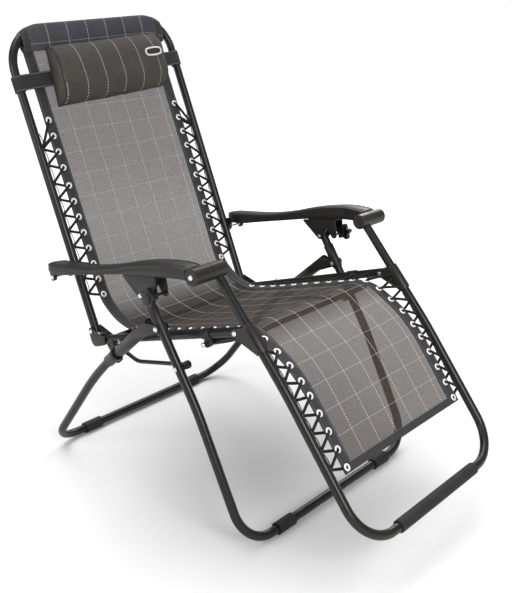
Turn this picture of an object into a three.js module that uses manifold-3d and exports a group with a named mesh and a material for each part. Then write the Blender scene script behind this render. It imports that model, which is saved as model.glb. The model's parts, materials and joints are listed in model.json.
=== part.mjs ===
// Zero gravity recliner: a folding steel-tube lounge chair with a laced sling.
// Millimetres, +Z up, the chair faces -Y, the sitter's left is +X.
// The origin is on the floor at the centre of the chair's bounding box.
import * as THREE from "three";
import { mergeVertices } from "three/addons/utils/BufferGeometryUtils.js";
import Module from "manifold-3d";

const wasm = await Module();
wasm.setup();

// ---- Driving dimensions ------------------------------------------------------------------
// Points of the side view are [forward, up], forward measured from the rear-leg pivot line.
const CENTRE_FORWARD = -32.9;                    // forward position of the bounding box centre
const TUBE = 11;                                 // radius of all frame tubes
const INNER = 272;                               // half spacing of back, seat and leg-frame tubes
const OUTER = 325;                               // half spacing of front-leg and rear-leg tubes
const LINK_X = 298.5;                            // half spacing of the two fold links
const GAP = 0.3;                                 // clearance between touching pieces
const FLOOR_TUBE_Z = 14.5;                       // height of the floor bars' centre lines

const LEG_PIVOT = [2, 481];                      // front leg to rear leg
const LINK_PIVOT = [56.5, 397];                  // fold link to front leg
const SEAT_PIVOT = [-204, 377];                  // seat rail, fold link and sliding collar
const BACK_PIVOT = [-310, 374];                  // back frame to seat
const LEG_FRAME_PIVOT = [195, 508];              // leg frame to seat
const ARM_FRONT = [125, 632];                    // armrest to leg frame
const ARM_REAR = [-375.5, 520];                  // armrest to back frame
const LOCK_PIVOT = [-43.5, 551];                 // lock bracket to the top of the front leg
const CLAMP = [4, 562];                          // clamp bolt of the armrest lock

const BACK_ANGLE = 112.74;                       // degrees from forward, up the back frame
const BACK_LENGTH = 792;                         // back pivot to the centre of the top bar
const BACK_BEND = 112;                           // corner bend radius at the top bar
const SEAT_ANGLE = 17.7;                         // rise of the seat rails towards the front
const LEG_FRAME_ANGLE = -48.3;                   // upper run of the leg frame's side tubes
const LEG_FRAME_KNEE = [330, 402];               // where the side tubes bend a little steeper
const LEG_FRAME_FOOT = [550, 122];               // foot bar
const FRONT_LEG_TOP = [-52, 564];
const FRONT_LEG_KNEE = [113, 310];
const FRONT_LEG_FOOT = [262, FLOOR_TUBE_Z];
const REAR_LEG_TOP = [-35, 480.5];
const COLLAR_POINT = [-178, 354];                // collar centre, where the rear leg starts to curve
const REAR_LEG_BEND = 927;                       // radius of the long bend the collars slide along
const REAR_LEG_BEND_LENGTH = 87.6;               // collar centre to the corner of that bend
const REAR_LEG_FOOT = [-462, FLOOR_TUBE_Z];
const CORNER_BEND = 85;                          // corner bend radius at the floor and foot bars

const SLING_HALF = 226;                          // half width of the sling
const SLING_THICK = 5;

const FINISH = {
  frame: { color: 0x3b3735, roughness: 0.38, metalness: 0.6 },
  bracket: { color: 0x4a443f, roughness: 0.5, metalness: 0.45 },
  plastic: { color: 0x1b1a1a, roughness: 0.6, metalness: 0 },
  armrest: { color: 0x3a3634, roughness: 0.55, metalness: 0 },
  pad: { color: 0x2b2b2d, roughness: 0.62, metalness: 0 },
  bolt: { color: 0xc9cbcd, roughness: 0.25, metalness: 1 },
  rubber: { color: 0x161616, roughness: 0.85, metalness: 0 },
  foam: { color: 0x1d1c1c, roughness: 0.9, metalness: 0 },
  mesh: { color: 0x6e6863, roughness: 0.85, metalness: 0 },
  cushion: { color: 0x45413d, roughness: 0.8, metalness: 0 },
  webbing: { color: 0x262525, roughness: 0.9, metalness: 0 },
};

// ---- Small helpers -----------------------------------------------------------------------
const chair = new THREE.Group();
const sides = [["left", 1], ["right", -1]];
const rad = (degrees) => degrees * Math.PI / 180;
const along = (point, degrees, distance) => [
  point[0] + Math.cos(rad(degrees)) * distance,
  point[1] + Math.sin(rad(degrees)) * distance,
];
const at = (x, [forward, up]) => new THREE.Vector3(x, CENTRE_FORWARD - forward, up);
const directionOf = (a, b) => Math.atan2(b[1] - a[1], b[0] - a[0]) * 180 / Math.PI;

function add(name, geometry, finish) {
  const mesh = new THREE.Mesh(geometry, new THREE.MeshStandardMaterial(FINISH[finish]));
  mesh.name = name;
  chair.add(mesh);
}

// Closed geometry to a manifold solid and back, for joining and drilling.
function solid(geometry) {
  const bare = geometry.clone();
  bare.deleteAttribute("normal");
  bare.deleteAttribute("uv");
  const merged = mergeVertices(bare, 1e-4);
  return new wasm.Manifold(new wasm.Mesh({
    numProp: 3,
    vertProperties: Float32Array.from(merged.attributes.position.array),
    triVerts: Uint32Array.from(merged.index.array),
  }));
}

function shell(manifold) {
  const mesh = manifold.getMesh();
  const geometry = new THREE.BufferGeometry();
  geometry.setAttribute("position", new THREE.BufferAttribute(mesh.vertProperties, 3));
  geometry.setIndex(new THREE.BufferAttribute(mesh.triVerts, 1));
  return geometry;
}

const join = (...pieces) => pieces.reduce((whole, piece) => whole.add(piece));

// A centre line of straight runs joined by round bends. Its parameter counts the key points,
// so that an extrusion puts a section on every one of them.
class BentLine extends THREE.Curve {
  constructor(corners, radii, bendSteps = 6) {
    super();
    this.keys = [corners[0]];
    for (let i = 1; i < corners.length - 1; i += 1) {
      const back = corners[i - 1].clone().sub(corners[i]).normalize();
      const next = corners[i + 1].clone().sub(corners[i]).normalize();
      const half = back.angleTo(next) / 2;
      const radius = radii[i - 1];
      const inward = back.clone().add(next).normalize();
      const centre = corners[i].clone().addScaledVector(inward, radius / Math.sin(half));
      const start = corners[i].clone().addScaledVector(back, radius / Math.tan(half)).sub(centre);
      const end = corners[i].clone().addScaledVector(next, radius / Math.tan(half)).sub(centre);
      const turn = start.angleTo(end);
      const steps = Math.round(radius > 500 ? 2 + turn * 24 : bendSteps * turn / (Math.PI / 2)) || 1;
      const axis = start.clone().cross(end).normalize();
      for (let k = 0; k <= steps; k += 1) {
        this.keys.push(start.clone().applyAxisAngle(axis, turn * k / steps).add(centre));
      }
    }
    this.keys.push(corners[corners.length - 1]);
  }

  get steps() {
    return this.keys.length - 1;
  }

  getUtoTmapping(u) {
    return u;
  }

  getPoint(t, target = new THREE.Vector3()) {
    const place = Math.min(Math.max(t, 0), 1) * this.steps;
    const i = Math.min(Math.floor(place), this.steps - 1);
    return target.lerpVectors(this.keys[i], this.keys[i + 1], place - i);
  }
}

function disc(radius, facets) {
  const shape = new THREE.Shape();
  for (let i = 0; i < facets; i += 1) {
    const angle = 2 * Math.PI * (i + 0.5) / facets;
    const place = [radius * Math.cos(angle), radius * Math.sin(angle)];
    if (i === 0) shape.moveTo(...place); else shape.lineTo(...place);
  }
  shape.closePath();
  return shape;
}

function tube(line, radius, facets = 14) {
  return new THREE.ExtrudeGeometry(disc(radius, facets), {
    steps: line.steps, extrudePath: line, bevelEnabled: false,
  });
}

// A U frame: two side runs through the given side-view points, joined by a bar at the last one.
function uFrame(points, halfWidth, radii, cornerRadius) {
  const right = points.map((p) => at(-halfWidth, p));
  const left = points.map((p) => at(halfWidth, p)).reverse();
  const all = [...radii, cornerRadius, cornerRadius, ...[...radii].reverse()];
  return new BentLine([...right, ...left], all);
}

// A straight rod between two side-view points in the plane x.
function rod(x, from, to, radius, facets = 14) {
  return tube(new BentLine([at(x, from), at(x, to)], []), radius, facets);
}

// A cylinder along X between two x positions.
function crossRod(point, x0, x1, radius, facets = 12) {
  const geometry = new THREE.CylinderGeometry(radius, radius, Math.abs(x1 - x0), facets);
  geometry.rotateZ(Math.PI / 2);
  const middle = at((x0 + x1) / 2, point);
  geometry.translate(middle.x, middle.y, middle.z);
  return geometry;
}

// A side-view outline, given as [forward, up] points, as a plate between two x positions.
function plate(outline, x0, x1) {
  const low = Math.min(x0, x1);
  const high = Math.max(x0, x1);
  const shape = new THREE.Shape(outline.map(([f, z]) => new THREE.Vector2(f - CENTRE_FORWARD, z)));
  const geometry = new THREE.ExtrudeGeometry(shape, { depth: high - low, bevelEnabled: false });
  const basis = new THREE.Matrix4().makeBasis(
    new THREE.Vector3(0, -1, 0), new THREE.Vector3(0, 0, 1), new THREE.Vector3(-1, 0, 0),
  );
  geometry.applyMatrix4(basis);
  geometry.translate(high, 0, 0);
  return geometry;
}

// The convex side-view outline around several round bosses [forward, up, radius].
function aroundBosses(bosses, facets = 14) {
  const points = [];
  for (const [f, z, r] of bosses) {
    for (let i = 0; i < facets; i += 1) {
      const angle = 2 * Math.PI * i / facets;
      points.push([f + r * Math.cos(angle), z + r * Math.sin(angle)]);
    }
  }
  points.sort((a, b) => a[0] - b[0] || a[1] - b[1]);
  const turn = (o, a, b) => (a[0] - o[0]) * (b[1] - o[1]) - (a[1] - o[1]) * (b[0] - o[0]);
  const half = (list) => {
    const hull = [];
    for (const p of list) {
      while (hull.length > 1 && turn(hull[hull.length - 2], hull[hull.length - 1], p) <= 1e-6) hull.pop();
      hull.push(p);
    }
    return hull.slice(0, -1);
  };
  return [...half(points), ...half([...points].reverse())];
}

const BOLT = 3.2;                                // bolt shank radius
const HOLE = 3.8;                                // bolt hole radius
const drill = (x0, x1, point) => solid(crossRod(point, x0, x1, HOLE, 10));

// A through bolt with a domed head at x0 and a flat nut at x1, or a blind one without its nut.
function bolt(point, x0, x1, blind = false) {
  const out = Math.sign(x0 - x1);
  const profile = [[0, 0], [6.4, 0], [6.4, 1.4], [4.6, 3.4], [0, 4.2]];
  const head = new THREE.LatheGeometry(profile.map((p) => new THREE.Vector2(...p)), 10);
  head.rotateZ(-Math.PI / 2 * out);
  const place = at(x0, point);
  head.translate(place.x, place.y, place.z);
  const shank = crossRod(point, x0 + out * 1, x1 - out * 4, BOLT, 10);
  if (blind) return shell(join(solid(head), solid(shank)));
  const nut = crossRod(point, x1, x1 - out * 4, 5.6, 6);
  return shell(join(solid(head), solid(shank), solid(nut)));
}

// A sleeve around a straight tube, [from, to] in the side view, bored to clear the tube.
function sleeve(x, from, to, radius, bore, facets = 16) {
  const overrun = directionOf(from, to);
  const inner = rod(x, along(from, overrun, -5), along(to, overrun, 5), bore, facets);
  return solid(rod(x, from, to, radius, facets)).subtract(solid(inner));
}

// ---- Front leg, the root body ------------------------------------------------------------
const frontLegLine = uFrame([FRONT_LEG_TOP, FRONT_LEG_KNEE, FRONT_LEG_FOOT], OUTER, [700], CORNER_BEND);
let frontLeg = solid(tube(frontLegLine, TUBE));
for (const [, s] of sides) {
  for (const point of [LEG_PIVOT, LINK_PIVOT, LOCK_PIVOT]) {
    frontLeg = frontLeg.subtract(drill(s * (OUTER - 20), s * (OUTER + 20), point));
  }
}
add("front_leg_tube", shell(frontLeg), "frame");

const FRONT_LEG_ANGLE = directionOf(FRONT_LEG_TOP, FRONT_LEG_KNEE);
const SPACER_SLEEVE = 13.5;                      // plastic sleeve between front leg and gusset
for (const [side, s] of sides) {
  const from = along(LEG_PIVOT, FRONT_LEG_ANGLE, -52);
  const to = along(LEG_PIVOT, FRONT_LEG_ANGLE, 15);
  const ring = sleeve(s * OUTER, from, to, SPACER_SLEEVE, TUBE + 2 * GAP)
    .subtract(drill(s * (OUTER - 20), s * (OUTER + 20), LEG_PIVOT));
  add(`leg_pivot_sleeve_${side}`, shell(ring), "plastic");
}

// Ribbed rubber feet on the floor bars, flat where they meet the floor.
const FOOT_START = 165;
const FOOT_LENGTH = 60;
const FOOT_RADIUS = 15.4;
function foot(forward, s) {
  const profile = [];
  const ribs = 6;
  for (let i = 0; i < ribs; i += 1) {
    const x = FOOT_LENGTH * i / ribs;
    profile.push([FOOT_RADIUS, x], [FOOT_RADIUS, x + FOOT_LENGTH / ribs - 3]);
    if (i === ribs - 1) break;
    for (const back of [2, 1]) profile.push([FOOT_RADIUS - 1.2, x + FOOT_LENGTH / ribs - back]);
  }
  const points = [[TUBE + GAP * 2, 0], ...profile, [TUBE + GAP * 2, FOOT_LENGTH - 3], [TUBE + GAP * 2, 0]];
  const body = new THREE.LatheGeometry(points.map((p) => new THREE.Vector2(...p)), 14);
  body.rotateY(rad(90 / 7));
  body.rotateZ(-Math.PI / 2 * s);
  const place = at(s * FOOT_START, [forward, FLOOR_TUBE_Z]);
  body.translate(place.x, place.y, place.z);
  const below = new THREE.BoxGeometry(FOOT_LENGTH * 3, 60, 20);
  below.translate(place.x, place.y, -10);
  return shell(solid(body).subtract(solid(below)));
}
for (const [side, s] of sides) {
  add(`front_foot_${side}`, foot(FRONT_LEG_FOOT[0], s), "rubber");
  add(`leg_pivot_bolt_${side}`, bolt(LEG_PIVOT, s * 341.4, s * 308.6), "bolt");
  add(`link_pivot_bolt_${side}`, bolt(LINK_PIVOT, s * (OUTER + TUBE + GAP), s * (LINK_X - 5.5)), "bolt");
}

// ---- Rear leg ----------------------------------------------------------------------------
const REAR_LEG_ANGLE = directionOf(REAR_LEG_TOP, COLLAR_POINT);
const rearLegCorner = along(COLLAR_POINT, REAR_LEG_ANGLE, REAR_LEG_BEND_LENGTH);
const rearLegLine = uFrame(
  [REAR_LEG_TOP, rearLegCorner, REAR_LEG_FOOT], OUTER, [REAR_LEG_BEND], CORNER_BEND,
);
add("rear_leg_tube", tube(rearLegLine, TUBE), "frame");

const CHEEK_IN = 13.8;                           // lateral offset of a bracket cheek's inner face
const CHEEK_OUT = 16;                            // and of its outer face
const GUSSET = 14.6;                             // outer radius of a gusset's sleeve
function cheeks(outline, x, point) {
  return [-1, 1].map((side) => solid(plate(outline, x + side * CHEEK_IN, x + side * CHEEK_OUT))
    .subtract(drill(x - 30, x + 30, point)));
}
for (const [side, s] of sides) {
  const top = along(REAR_LEG_TOP, REAR_LEG_ANGLE, -2);
  const low = along(REAR_LEG_TOP, REAR_LEG_ANGLE, 150);
  const pipe = sleeve(s * OUTER, top, low, GUSSET, TUBE + 2 * GAP);
  const ear = aroundBosses([
    [...LEG_PIVOT, 10], [...along(top, REAR_LEG_ANGLE, 8), 8], [...along(top, REAR_LEG_ANGLE, 60), 7],
  ]);
  add(`rear_leg_gusset_${side}`, shell(join(pipe, ...cheeks(ear, s * OUTER, LEG_PIVOT))), "bracket");
  add(`rear_foot_${side}`, foot(REAR_LEG_FOOT[0], s), "rubber");
}

// Collars that slide down the rear leg as the chair folds; each carries an ear for the seat pivot.
for (const [side, s] of sides) {
  const top = along(COLLAR_POINT, REAR_LEG_ANGLE, -23);
  const low = along(COLLAR_POINT, REAR_LEG_ANGLE, 21);
  const ring = sleeve(s * OUTER, top, low, 15, TUBE + 1.2);
  const lip = sleeve(s * OUTER, top, along(top, REAR_LEG_ANGLE, 12), 16.6, TUBE + 1.2);
  const earOutline = aroundBosses([
    [...SEAT_PIVOT, 9.5], [...along(COLLAR_POINT, REAR_LEG_ANGLE + 125, 13), 6],
    [...along(COLLAR_POINT, REAR_LEG_ANGLE + 235, -13), 6],
  ]);
  const keep = sleeve(s * OUTER, along(top, REAR_LEG_ANGLE, -60), along(low, REAR_LEG_ANGLE, 60), 90, 14);
  const ear = solid(plate(earOutline, s * 309.5, s * 314)).subtract(drill(s * 290, s * 330, SEAT_PIVOT));
  add(`sliding_collar_${side}`, shell(join(ring, lip, ear.intersect(keep))), "bracket");
}

// ---- Fold links --------------------------------------------------------------------------
const LINK_BEND = [-117, 353];
for (const [side, s] of sides) {
  const x = s * LINK_X;
  const line = new BentLine([at(x, SEAT_PIVOT), at(x, LINK_BEND), at(x, LINK_PIVOT)], [45]);
  const bar = solid(tube(line, 5, 10));
  const eyes = [SEAT_PIVOT, LINK_PIVOT].map((p) => solid(crossRod(p, x - 5, x + 5, 9.5, 14)));
  const spacer = solid(crossRod(LINK_PIVOT, x + s * 4, s * (OUTER - TUBE - GAP), 8.5, 12));
  const link = join(bar, ...eyes, spacer)
    .subtract(drill(s * 280, s * 340, SEAT_PIVOT))
    .subtract(drill(s * 280, s * 340, LINK_PIVOT));
  add(`fold_link_${side}`, shell(link), "plastic");
}

// ---- Seat frame --------------------------------------------------------------------------
const seatPoint = (distance) => along(along(LEG_FRAME_PIVOT, SEAT_ANGLE, 9), SEAT_ANGLE, -distance);
const RAIL_LENGTH = 527;
const railRear = seatPoint(RAIL_LENGTH);
for (const [side, s] of sides) {
  const x = s * INNER;
  const rail = solid(rod(x, railRear, seatPoint(0), TUBE))
    .subtract(drill(x - 20, x + 20, SEAT_PIVOT))
    .subtract(drill(x - 20, x + 20, LEG_FRAME_PIVOT));
  add(`seat_rail_${side}`, shell(rail), "frame");

  // Elbow bracket that wraps the rail's rear end and carries the back pivot between its cheeks.
  const outline = aroundBosses([[...BACK_PIVOT, 10], [...along(railRear, SEAT_ANGLE, 2), 14.5],
    [...along(railRear, SEAT_ANGLE, 34), 11]]);
  const wrap = aroundBosses([
    [...along(railRear, SEAT_ANGLE, 2), 14.5], [...along(railRear, SEAT_ANGLE, 30), 13.5],
  ]);
  const hollow = solid(rod(x, along(railRear, SEAT_ANGLE, -GAP), seatPoint(300), TUBE + GAP, 14));
  const above = solid(plate(aroundBosses([
    [...along(along(railRear, SEAT_ANGLE, -30), SEAT_ANGLE + 90, 30), 20.5],
    [...along(along(railRear, SEAT_ANGLE, 60), SEAT_ANGLE + 90, 30), 20.5],
  ]), x - CHEEK_IN, x + CHEEK_IN));
  const body = solid(plate(wrap, x - CHEEK_IN - 0.5, x + CHEEK_IN + 0.5)).subtract(above).subtract(hollow);
  add(`seat_elbow_${side}`, shell(join(body, ...cheeks(outline, x, BACK_PIVOT))), "bracket");
  add(`seat_pivot_bolt_${side}`, bolt(SEAT_PIVOT, s * (INNER - TUBE - GAP), s * 304), "bolt");
}

// Two cross tubes stiffen the seat: a straight one at the rear, a bowed one under the front.
const REAR_CROSS = along(seatPoint(RAIL_LENGTH - 62), SEAT_ANGLE - 90, 0);
add("rear_cross_tube", crossRod(REAR_CROSS, -(INNER - TUBE - GAP), INNER - TUBE - GAP, 9.5, 14), "frame");

const HANGER = [92, 449];                        // bolt of the front spreader under the rail
const SPREADER_FRONT = [186, 486];               // forward reach of the bowed spreader
const SPREADER_X = INNER - TUBE - 12;
const spreaderLine = new BentLine([
  at(-SPREADER_X, HANGER), at(-SPREADER_X, SPREADER_FRONT),
  at(SPREADER_X, SPREADER_FRONT), at(SPREADER_X, HANGER),
], [70, 70]);
add("front_spreader_bar", tube(spreaderLine, 8, 12), "frame");
for (const [side, s] of sides) {
  const railAbove = seatPoint(110);
  const outline = aroundBosses([[...HANGER, 9], [...railAbove, 7]]);
  const cup = sleeve(s * INNER, seatPoint(124), seatPoint(96), 13.5, TUBE + GAP);
  const ear = solid(plate(outline, s * (INNER - 1), s * (SPREADER_X + 8.4)))
    .subtract(solid(rod(s * INNER, seatPoint(140), seatPoint(80), TUBE + 1)));
  const stud = solid(crossRod(HANGER, s * (INNER - 2), s * (INNER + 3), 5.5, 8));
  add(`spreader_hanger_${side}`, shell(join(cup, ear, stud)), "bracket");
}

// ---- Back frame --------------------------------------------------------------------------
const backPoint = (distance) => along(BACK_PIVOT, BACK_ANGLE, distance);
let backFrame = solid(tube(uFrame([backPoint(-8), backPoint(BACK_LENGTH)], INNER, [], BACK_BEND), TUBE));
for (const [, s] of sides) {
  backFrame = backFrame.subtract(drill(s * (INNER - 20), s * (INNER + 20), BACK_PIVOT));
}
add("back_frame_tube", shell(backFrame), "frame");
for (const [side, s] of sides) {
  const reach = CHEEK_OUT + GAP;
  add(`back_pivot_bolt_${side}`, bolt(BACK_PIVOT, s * (INNER + reach), s * (INNER - reach)), "bolt");
}

// ---- Leg frame ---------------------------------------------------------------------------
const LEG_FRAME_TOP = along(LEG_FRAME_KNEE, LEG_FRAME_ANGLE, -300);
const legFrameLine = uFrame([LEG_FRAME_TOP, LEG_FRAME_KNEE, LEG_FRAME_FOOT], INNER, [1100], CORNER_BEND + 10);
add("leg_frame_tube", tube(legFrameLine, TUBE), "frame");
for (const [side, s] of sides) {
  const x = s * INNER;
  const foot1 = along(LEG_FRAME_KNEE, LEG_FRAME_ANGLE, -170);
  const foot2 = along(LEG_FRAME_KNEE, LEG_FRAME_ANGLE, -102);
  const pipe = sleeve(x, foot1, foot2, GUSSET, TUBE + 2 * GAP);
  const ear = aroundBosses([[...LEG_FRAME_PIVOT, 10], [...along(foot1, LEG_FRAME_ANGLE, 10), 7],
    [...along(foot2, LEG_FRAME_ANGLE, -8), 7]]);
  add(`leg_frame_gusset_${side}`, shell(join(pipe, ...cheeks(ear, x, LEG_FRAME_PIVOT))), "bracket");
  const reach = s * (CHEEK_OUT + GAP);
  add(`leg_frame_bolt_${side}`, bolt(LEG_FRAME_PIVOT, x + reach, x - reach), "bolt");
}

// Barrels across the tops of the leg frame's side tubes. The armrest's own half turns beside each.
const BARREL = 19;
const BARREL_IN = INNER - 20;
const BARREL_SEAM = 291;
const BARREL_OUT = 345;
for (const [side, s] of sides) {
  const tubeEnd = along(LEG_FRAME_TOP, LEG_FRAME_ANGLE, -GAP * 2);
  const socket = rod(s * INNER, tubeEnd, LEG_FRAME_KNEE, TUBE + GAP * 2, 14);
  const body = solid(crossRod(ARM_FRONT, s * BARREL_IN, s * BARREL_SEAM, BARREL, 24))
    .subtract(solid(socket))
    .subtract(drill(s * (INNER + TUBE + 1.5), s * 400, ARM_FRONT));
  add(`arm_barrel_${side}`, shell(body), "plastic");
  const pin = bolt(ARM_FRONT, s * (BARREL_OUT + GAP), s * (INNER + TUBE + 6), true);
  add(`arm_pivot_bolt_${side}`, pin, "bolt");
}

// Foam sleeve on the foot bar.
const FOAM_HALF = 160;
const foamBore = solid(crossRod(LEG_FRAME_FOOT, -FOAM_HALF - 5, FOAM_HALF + 5, TUBE + GAP * 2, 14));
const foam = solid(crossRod(LEG_FRAME_FOOT, -FOAM_HALF, FOAM_HALF, 15, 18)).subtract(foamBore);
add("foot_bar_cover", shell(foam), "foam");

// ---- Armrests ----------------------------------------------------------------------------
const ARM_X = 325;                               // middle of an armrest
const ARM_HALF = 25;
const underside = new THREE.CatmullRomCurve3([
  [-412, 531], [-343, 534], [-260, 553], [-182, 571], [-73, 596], [28, 613], [102, 622],
].map(([f, z]) => new THREE.Vector3(f, z, 0)));
const padBottom = new THREE.CatmullRomCurve3([
  [-420, 541], [-400, 552], [-345, 556], [-240, 570], [-150, 590], [-70, 615], [0, 631], [50, 638],
  [102, 641],
].map(([f, z]) => new THREE.Vector3(f, z, 0)));
const padTop = new THREE.CatmullRomCurve3([
  [-421, 548], [-398, 562], [-345, 567], [-240, 581], [-150, 603], [-70, 628], [0, 644], [50, 651],
  [100, 652],
].map(([f, z]) => new THREE.Vector3(f, z, 0)));
const sample = (curve, count) => curve.getPoints(count).map((p) => [p.x, p.y]);
const lowered = (list, distance) => list.map(([f, z]) => [f, z - distance]);

// Rounds an armrest in plan: the rear end is a half circle, the front narrows to the barrel.
const BARREL_MID = (BARREL_OUT - ARM_X) / ARM_HALF;
function planOutline(x, half, rear, front) {
  const shape = new THREE.Shape();
  const y = (f) => CENTRE_FORWARD - f;
  const inner = Math.sign(x) * half;
  shape.moveTo(x - inner * (BARREL_MID + 1), y(front));
  shape.lineTo(x - inner, y(front - 70));
  for (let i = 0; i <= 8; i += 1) {
    const angle = Math.PI * i / 8;
    shape.lineTo(x - inner * Math.cos(angle), y(rear + 30 - 30 * Math.sin(angle)));
  }
  shape.lineTo(x + inner, y(front - 70));
  shape.lineTo(x + inner * BARREL_MID, y(front));
  shape.closePath();
  const block = new THREE.ExtrudeGeometry(shape, { depth: 300, bevelEnabled: false });
  block.translate(0, 0, 450);
  return solid(block);
}

for (const [side, s] of sides) {
  const x = s * ARM_X;
  const barrelRoom = solid(crossRod(ARM_FRONT, s * 240, s * 400, BARREL + GAP * 2, 24));
  const web = [[98, 623], [122, 622], [122, 639], [98, 640]];
  const hollow = [[90, 604], [108, 604], [108, 635], [90, 634.6]];
  const joint = solid(plate(web, s * (ARM_X - ARM_HALF + 4), s * (BARREL_OUT - 1)))
    .subtract(solid(plate(hollow, s * (ARM_X - ARM_HALF + 8), s * (BARREL_OUT - 3))));
  const low = sample(underside, 14);
  const high = lowered(sample(padBottom, 16), GAP).reverse();
  const lug = aroundBosses([[...ARM_REAR, 10], [ARM_REAR[0] - 12, 545, 8], [ARM_REAR[0] + 22, 549, 8]]);
  const lugPlate = solid(plate(lug, s * (INNER + TUBE + 1), s * (ARM_X + 20)));
  const below = (z, x0, x1) => solid(plate([[-460, 400], [-300, 400], [-300, z], [-460, z]], x0, x1));
  const lugRoom = join(
    below(600, s * 240, s * (ARM_X - ARM_HALF - 2)),
    below(552, s * 280, s * (ARM_X + ARM_HALF)),
  ).subtract(below(538, s * (ARM_X - ARM_HALF - 6), s * (ARM_X + 13)));
  const channel = [
    ...lowered(sample(underside, 14), 8).slice(5), [120, 615], [120, 635],
    ...lowered(sample(padBottom, 16), 5).slice(8).reverse(),
  ];
  const walls = solid(plate([...low, ...high], x - ARM_HALF, x + ARM_HALF))
    .intersect(planOutline(x, ARM_HALF, -400, 106))
    .subtract(solid(plate(channel, x - ARM_HALF + 4, x + ARM_HALF - 4)));
  const housing = solid(crossRod(ARM_FRONT, s * (BARREL_SEAM + 2 * GAP), s * BARREL_OUT, BARREL, 24));
  const base = join(walls.subtract(barrelRoom), lugPlate.intersect(lugRoom), housing, joint)
    .subtract(drill(s * 280, s * 360, ARM_REAR))
    .subtract(drill(s * 280, s * 400, ARM_FRONT));
  add(`armrest_base_${side}`, shell(base), "armrest");
  const padSide = [...sample(padBottom, 16), ...sample(padTop, 16).reverse()];
  const pad = solid(plate(padSide, x - ARM_HALF - 1, x + ARM_HALF + 1))
    .intersect(planOutline(x, ARM_HALF + 1, -402, 105))
    .subtract(barrelRoom);
  add(`armrest_pad_${side}`, shell(pad), "pad");
  const pin = bolt(ARM_REAR, s * (ARM_X + 20 + GAP), s * (INNER + TUBE + 8), true);
  add(`armrest_rear_bolt_${side}`, pin, "bolt");
}

// ---- Armrest locks -----------------------------------------------------------------------
// A lock bracket turns on the top of the front leg, and the armrest slides along it.
const LOCK_CHEEK_IN = 14;
const LOCK_CHEEK_OUT = 17;
for (const [side, s] of sides) {
  const x = s * OUTER;
  const rearPart = aroundBosses([[...LOCK_PIVOT, 10], [-100, 585, 3], [-10, 601, 3]]);
  const frontPart = aroundBosses([[...CLAMP, 9.5], [-30, 597, 3], [3.5, 603.5, 3]]);
  const ridge = aroundBosses([[-86, 588.5, 3], [3.5, 603.5, 3]], 8);
  const bridge = plate(ridge, x - LOCK_CHEEK_OUT, x + LOCK_CHEEK_OUT);
  const bossLength = 9;
  const bossEnd = x + s * (LOCK_CHEEK_OUT + bossLength - GAP);
  const boss = solid(crossRod(CLAMP, x + s * LOCK_CHEEK_OUT, bossEnd, 7, 12));
  const plates = [-1, 1].flatMap((e) => [rearPart, frontPart].map((outline) => (
    solid(plate(outline, x + e * LOCK_CHEEK_IN, x + e * LOCK_CHEEK_OUT)))));
  const bracket = join(...plates, solid(bridge), boss)
    .subtract(drill(x - 40, x + 40, LOCK_PIVOT))
    .subtract(drill(x - 40, x + 40, CLAMP));
  add(`lock_bracket_${side}`, shell(bracket), "plastic");
  const reach = s * (LOCK_CHEEK_OUT + GAP);
  add(`lock_pivot_bolt_${side}`, bolt(LOCK_PIVOT, x + reach, x - reach), "bolt");

  // Lobed clamp knob with its threaded stud through the bracket.
  const lobes = 5;
  const outline = [];
  for (let i = 0; i < lobes * 6; i += 1) {
    const angle = 2 * Math.PI * i / (lobes * 6);
    const r = 19 + 4 * Math.cos(lobes * angle);
    outline.push([CLAMP[0] + r * Math.sin(angle), CLAMP[1] + r * Math.cos(angle)]);
  }
  const knobStart = x + s * (LOCK_CHEEK_OUT + bossLength);
  const knob = join(
    solid(plate(outline, knobStart, knobStart + s * 13)),
    solid(crossRod(CLAMP, knobStart, knobStart + s * 17, 11, 14)),
    solid(crossRod(CLAMP, knobStart + s * 2, x - s * (LOCK_CHEEK_OUT + 4), BOLT, 10)),
  );
  add(`lock_knob_${side}`, shell(knob), "plastic");
}

// ---- Sling, in one plain solid for each frame that carries it -----------------------------
const slingSlab = (outline) => plate(outline, -SLING_HALF, SLING_HALF);
const offset = (list, degrees, distance) => list.map((p) => along(p, degrees, distance));
const backFace = [backPoint(72), backPoint(735)];
add("sling_back", slingSlab([
  ...offset(backFace, BACK_ANGLE - 90, 0), ...offset([...backFace].reverse(), BACK_ANGLE - 90, SLING_THICK),
]), "mesh");

// Top sleeve: the sling is turned over the top bar and sewn to itself behind.
const SLEEVE_HALF = 236;
const topLine = uFrame([backPoint(660), backPoint(BACK_LENGTH)], INNER, [], BACK_BEND);
const aroundBar = solid(tube(topLine, TUBE + 3.6, 16)).subtract(solid(tube(topLine, TUBE + 2 * GAP, 16)));
const flap = plate([
  along(backPoint(750), BACK_ANGLE - 90, 9), along(backPoint(BACK_LENGTH), BACK_ANGLE - 90, TUBE + 1.2),
  along(backPoint(BACK_LENGTH), BACK_ANGLE - 90, TUBE + 3.4), along(backPoint(750), BACK_ANGLE - 90, 12),
], -SLING_HALF + 26, SLING_HALF - 26);
const sleeveRoom = new THREE.BoxGeometry(2 * SLEEVE_HALF, 3000, 3000);
add("sling_top_sleeve", shell(join(aroundBar, solid(flap)).intersect(solid(sleeveRoom))), "mesh");

// The seat part sags between its rails, a little below them.
const seatSag = [seatPoint(452), seatPoint(380), seatPoint(250), seatPoint(130), seatPoint(34)]
  .map((p, i) => along(p, SEAT_ANGLE - 90, [-14, 2, 10, 6, 0][i]));
add("sling_seat", slingSlab([
  ...seatSag, ...offset([...seatSag].reverse(), SEAT_ANGLE + 90, SLING_THICK),
]), "mesh");

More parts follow.
